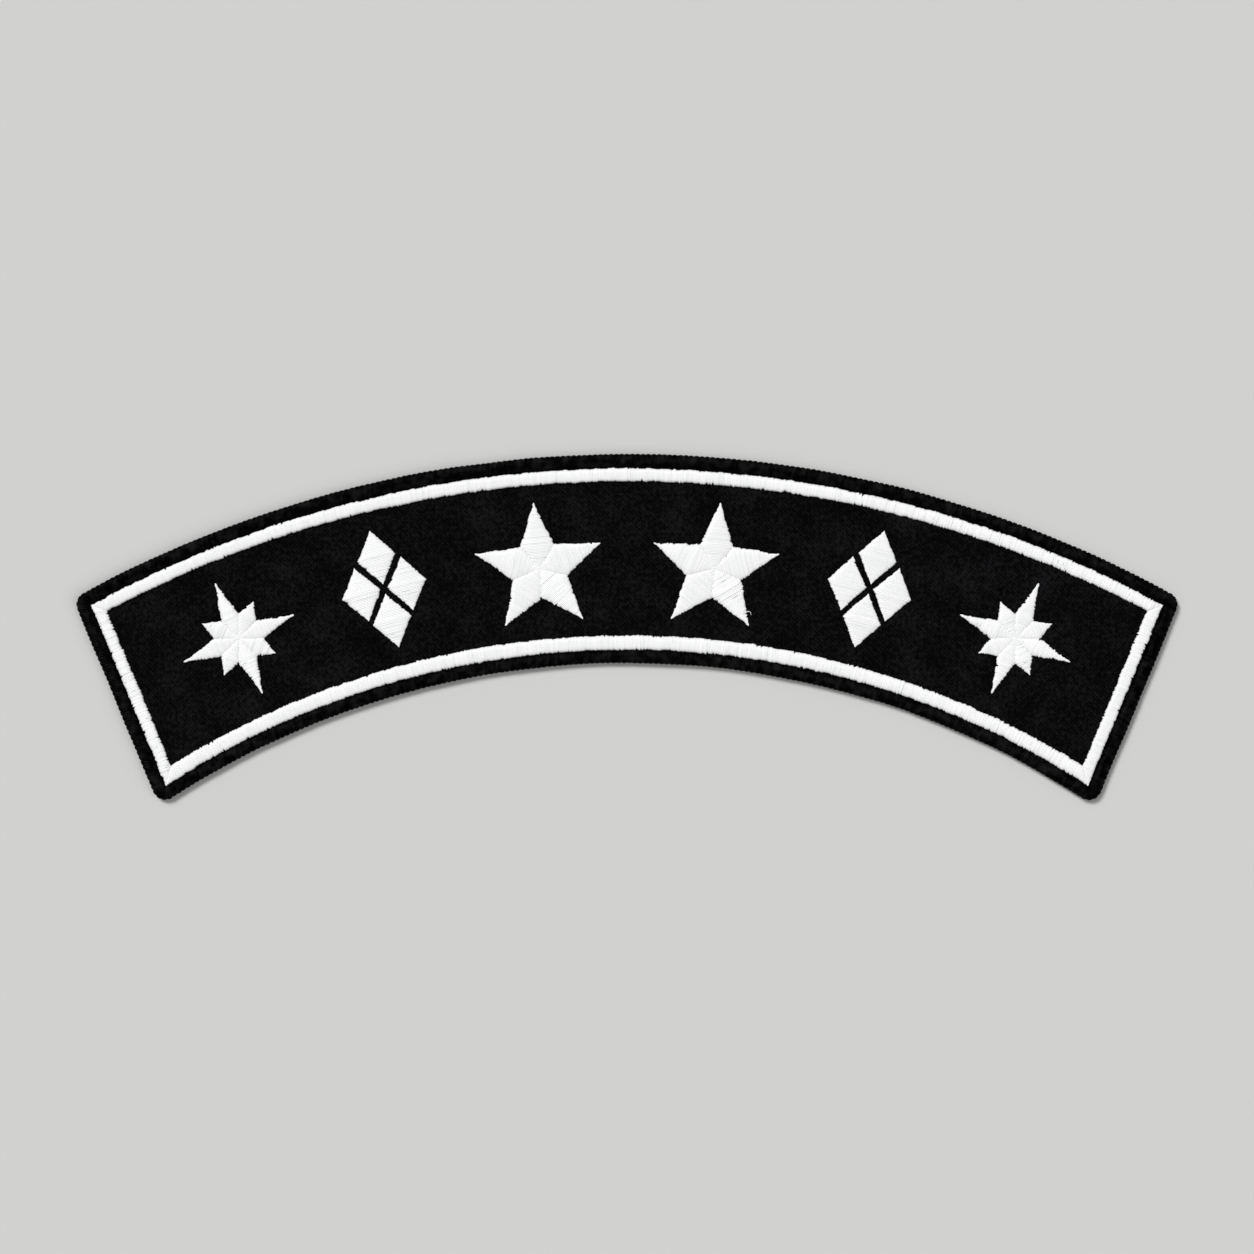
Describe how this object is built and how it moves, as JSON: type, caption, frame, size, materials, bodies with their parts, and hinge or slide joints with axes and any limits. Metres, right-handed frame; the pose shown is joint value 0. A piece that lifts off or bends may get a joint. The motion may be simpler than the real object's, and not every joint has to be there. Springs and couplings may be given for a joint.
{
  "type": "rocker patch",
  "caption": "Arched embroidered cloth patch with an overlocked border, a satin-stitched frame line and raised satin-stitched ornaments, to be sewn on the back of a garment.",
  "frame": {"origin": "middle of the patch's length and height, on its back face", "axes": "+X along the patch, +Y to the crown of the arch, +Z out of the embroidered front"},
  "size_m": [0.305, 0.0958, 0.0024],
  "materials": {
    "ground_cloth": "black cotton and polyester twill, matt",
    "border_thread": "black overlocking thread, dull",
    "satin_thread": "off-white rayon thread, satin sheen along the stitches"
  },
  "bodies": {
    "root": {"cloth_ground": "ground_cloth", "compass_left": "satin_thread", "compass_right": "satin_thread", "frame_bottom": "satin_thread", "frame_left": "satin_thread", "frame_right": "satin_thread", "frame_top": "satin_thread", "lozenge_left_inner": "satin_thread", "lozenge_left_lower": "satin_thread", "lozenge_left_outer": "satin_thread", "lozenge_left_upper": "satin_thread", "lozenge_right_inner": "satin_thread", "lozenge_right_lower": "satin_thread", "lozenge_right_outer": "satin_thread", "lozenge_right_upper": "satin_thread", "merrow_edge": "border_thread", "star_left": "satin_thread", "star_right": "satin_thread"}
  },
  "joints": []
}
